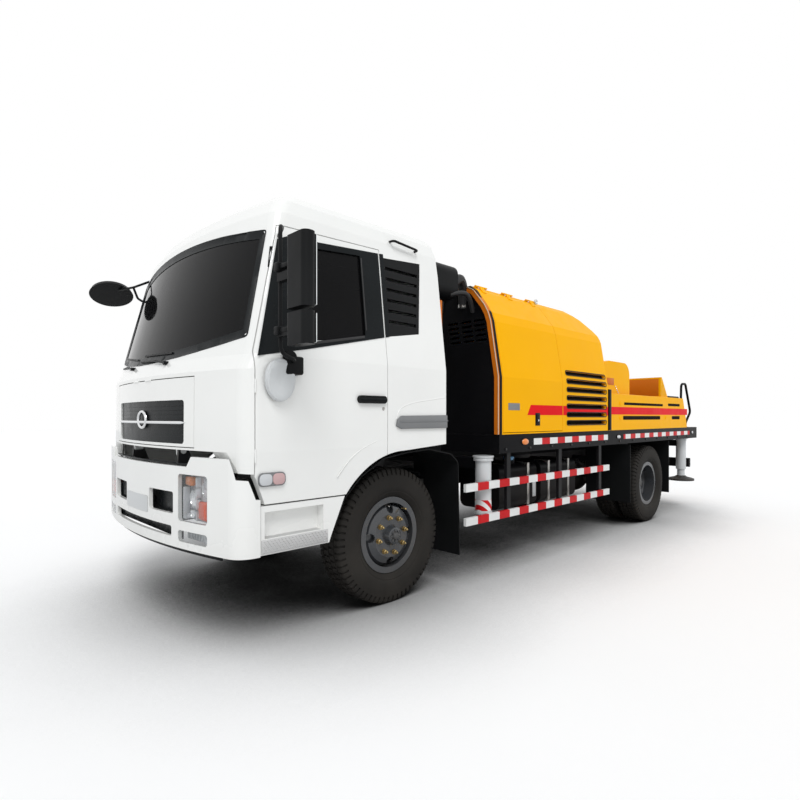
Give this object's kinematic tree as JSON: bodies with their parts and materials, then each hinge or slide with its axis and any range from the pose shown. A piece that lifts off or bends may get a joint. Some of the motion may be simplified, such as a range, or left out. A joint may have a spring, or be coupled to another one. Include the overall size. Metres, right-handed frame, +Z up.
{
  "type": "truck-mounted concrete line pump",
  "caption": "Two-axle cab-over truck carrying a concrete line pump: white cab, yellow engine housing, rear hopper with swing pipe, and four support jacks.",
  "frame": {"origin": "on the ground, at the middle of the truck's length and width", "axes": "+Z up, -Y towards the front of the truck, +X to the truck's own left"},
  "size_m": [3.3058, 8.4, 2.912],
  "materials": {
    "white_paint": "glossy white cab paint",
    "yellow_paint": "glossy chrome-yellow paint",
    "black_paint": "semi-gloss black paint",
    "chassis_paint": "satin black chassis paint",
    "wheel_paint": "glossy dark grey wheel paint",
    "tyre_rubber": "dusty black-brown rubber",
    "window_glass": "dark tinted glass",
    "lamp_glass": "clear lamp lens over chrome reflectors",
    "black_plastic": "moulded black plastic",
    "grille_black": "black grille plastic",
    "cast_grey": "grey cast iron",
    "bright_steel": "worn bare steel",
    "guard_paint": "white bars with red bands",
    "interior_plastic": "grey dash and seat coverings",
    "lamp_red": "orange-red lamp plastic",
    "jack_white": "white jack paint",
    "grate_paint": "black paint"
  },
  "bodies": {
    "chassis": {"chassis_frame": "chassis_paint", "front_axle": "chassis_paint", "rear_axle": "chassis_paint", "engine": "cast_grey", "side_tanks": "black_paint", "side_guards": "guard_paint", "front_bumper": "white_paint", "bumper_inserts": "grille_black", "front_lamps": "lamp_glass", "step_boxes": "white_paint", "mudguards": "black_plastic", "deck_frame": "black_paint", "pump_engine": "cast_grey", "housing_front": "black_paint", "housing_body": "yellow_paint", "hydraulic_tank": "yellow_paint", "side_boards": "yellow_paint", "pumping_unit": "yellow_paint", "hopper": "yellow_paint", "outlet_pipe": "bright_steel", "jack_tubes": "jack_white", "rear_bar": "black_paint", "rear_lamps": "lamp_red", "air_intake": "black_plastic"},
    "cab": {"cab_shell": "white_paint", "cab_glass": "window_glass", "cab_trim": "black_plastic", "cab_interior": "interior_plastic"},
    "left_door": {"door_left": "white_paint", "door_glass_left": "window_glass", "door_fittings_left": "black_plastic"},
    "right_door": {"door_right": "white_paint", "door_glass_right": "window_glass", "door_fittings_right": "black_plastic"},
    "hatch": {"front_hatch": "white_paint", "grille": "grille_black"},
    "left_hood_door": {"hood_door_left": "yellow_paint"},
    "right_hood_door": {"hood_door_right": "yellow_paint"},
    "grate": {"hopper_grate": "grate_paint"},
    "agitator_shafts": {"agitator": "bright_steel"},
    "swing": {"swing_pipe": "bright_steel"},
    "knuckle_l": {"knuckle_left": "chassis_paint"},
    "knuckle_r": {"knuckle_right": "chassis_paint"},
    "track_rod": {"tie_rod": "chassis_paint"},
    "front_left_wheel": {"wheel_front_left": "wheel_paint", "tyre_front_left": "tyre_rubber"},
    "front_right_wheel": {"wheel_front_right": "wheel_paint", "tyre_front_right": "tyre_rubber"},
    "rear_left_wheels": {"wheel_rear_left": "wheel_paint", "tyres_rear_left": "tyre_rubber"},
    "rear_right_wheels": {"wheel_rear_right": "wheel_paint", "tyres_rear_right": "tyre_rubber"},
    "jack_fl": {"jack_front_left": "jack_white"},
    "jack_fr": {"jack_front_right": "jack_white"},
    "jack_rl": {"jack_rear_left": "jack_white"},
    "jack_rr": {"jack_rear_right": "jack_white"}
  },
  "joints": [
    {"name": "cab_tilt", "type": "hinge", "parent": "chassis", "child": "cab", "pos_m": [0, -4.05, 1.19], "axis": [1, 0, 0], "range_deg": [0, 45]},
    {"name": "door_left_hinge", "type": "hinge", "parent": "cab", "child": "left_door", "pos_m": [1.213, -3.935, 1.6], "axis": [0, 0, -1], "range_deg": [0, 65]},
    {"name": "door_right_hinge", "type": "hinge", "parent": "cab", "child": "right_door", "pos_m": [-1.213, -3.935, 1.6], "axis": [0, 0, 1], "range_deg": [0, 65]},
    {"name": "hatch_hinge", "type": "hinge", "parent": "cab", "child": "hatch", "pos_m": [0, -4.163, 1.673], "axis": [-1, 0, 0], "range_deg": [0, 70]},
    {"name": "hood_left_hinge", "type": "hinge", "parent": "chassis", "child": "left_hood_door", "pos_m": [0.914, -0.97, 2.657], "axis": [0, -1, 0], "range_deg": [0, 80]},
    {"name": "hood_right_hinge", "type": "hinge", "parent": "chassis", "child": "right_hood_door", "pos_m": [-0.914, -0.97, 2.657], "axis": [0, 1, 0], "range_deg": [0, 80]},
    {"name": "grate_hinge", "type": "hinge", "parent": "chassis", "child": "grate", "pos_m": [0, 3.16, 1.7323], "axis": [1, 0, 0], "range_deg": [0, 80]},
    {"name": "agitator_spin", "type": "hinge", "parent": "chassis", "child": "agitator_shafts", "pos_m": [0, 3.55, 1.5], "axis": [1, 0, 0], "continuous": true},
    {"name": "swing_pipe_turn", "type": "hinge", "parent": "chassis", "child": "swing", "pos_m": [0, 3.6, 1.33], "axis": [0, 1, 0], "range_deg": [-43.2, 43.2]},
    {"name": "steer_left", "type": "hinge", "parent": "chassis", "child": "knuckle_l", "pos_m": [0.78, -2.7, 0.515], "axis": [0, 0, 1], "range_deg": [-32, 32]},
    {"name": "steer_right", "type": "hinge", "parent": "chassis", "child": "knuckle_r", "pos_m": [-0.78, -2.7, 0.515], "axis": [0, 0, 1], "range_deg": [-32, 32]},
    {"name": "tie_rod_pin", "type": "hinge", "parent": "knuckle_l", "child": "track_rod", "pos_m": [0.78, -2.5, 0.455], "axis": [0, 0, 1], "range_deg": [-32, 32]},
    {"name": "wheel_front_left_spin", "type": "hinge", "parent": "knuckle_l", "child": "front_left_wheel", "pos_m": [0.94, -2.7, 0.515], "axis": [1, 0, 0], "continuous": true},
    {"name": "wheel_front_right_spin", "type": "hinge", "parent": "knuckle_r", "child": "front_right_wheel", "pos_m": [-0.94, -2.7, 0.515], "axis": [1, 0, 0], "continuous": true},
    {"name": "wheels_rear_left_spin", "type": "hinge", "parent": "chassis", "child": "rear_left_wheels", "pos_m": [0.905, 2, 0.515], "axis": [1, 0, 0], "continuous": true},
    {"name": "wheels_rear_right_spin", "type": "hinge", "parent": "chassis", "child": "rear_right_wheels", "pos_m": [-0.905, 2, 0.515], "axis": [1, 0, 0], "continuous": true},
    {"name": "jack_front_left_slide", "type": "slide", "parent": "chassis", "child": "jack_fl", "axis": [0, 0, -1], "range_m": [0, 0.52]},
    {"name": "jack_front_right_slide", "type": "slide", "parent": "chassis", "child": "jack_fr", "axis": [0, 0, -1], "range_m": [0, 0.52]},
    {"name": "jack_rear_left_slide", "type": "slide", "parent": "chassis", "child": "jack_rl", "axis": [0, 0, -1], "range_m": [0, 0.425]},
    {"name": "jack_rear_right_slide", "type": "slide", "parent": "chassis", "child": "jack_rr", "axis": [0, 0, -1], "range_m": [0, 0.425]}
  ],
  "couplings": [
    {"joint": "steer_right", "follows": "steer_left", "ratio": 1},
    {"joint": "tie_rod_pin", "follows": "steer_left", "ratio": -1}
  ]
}
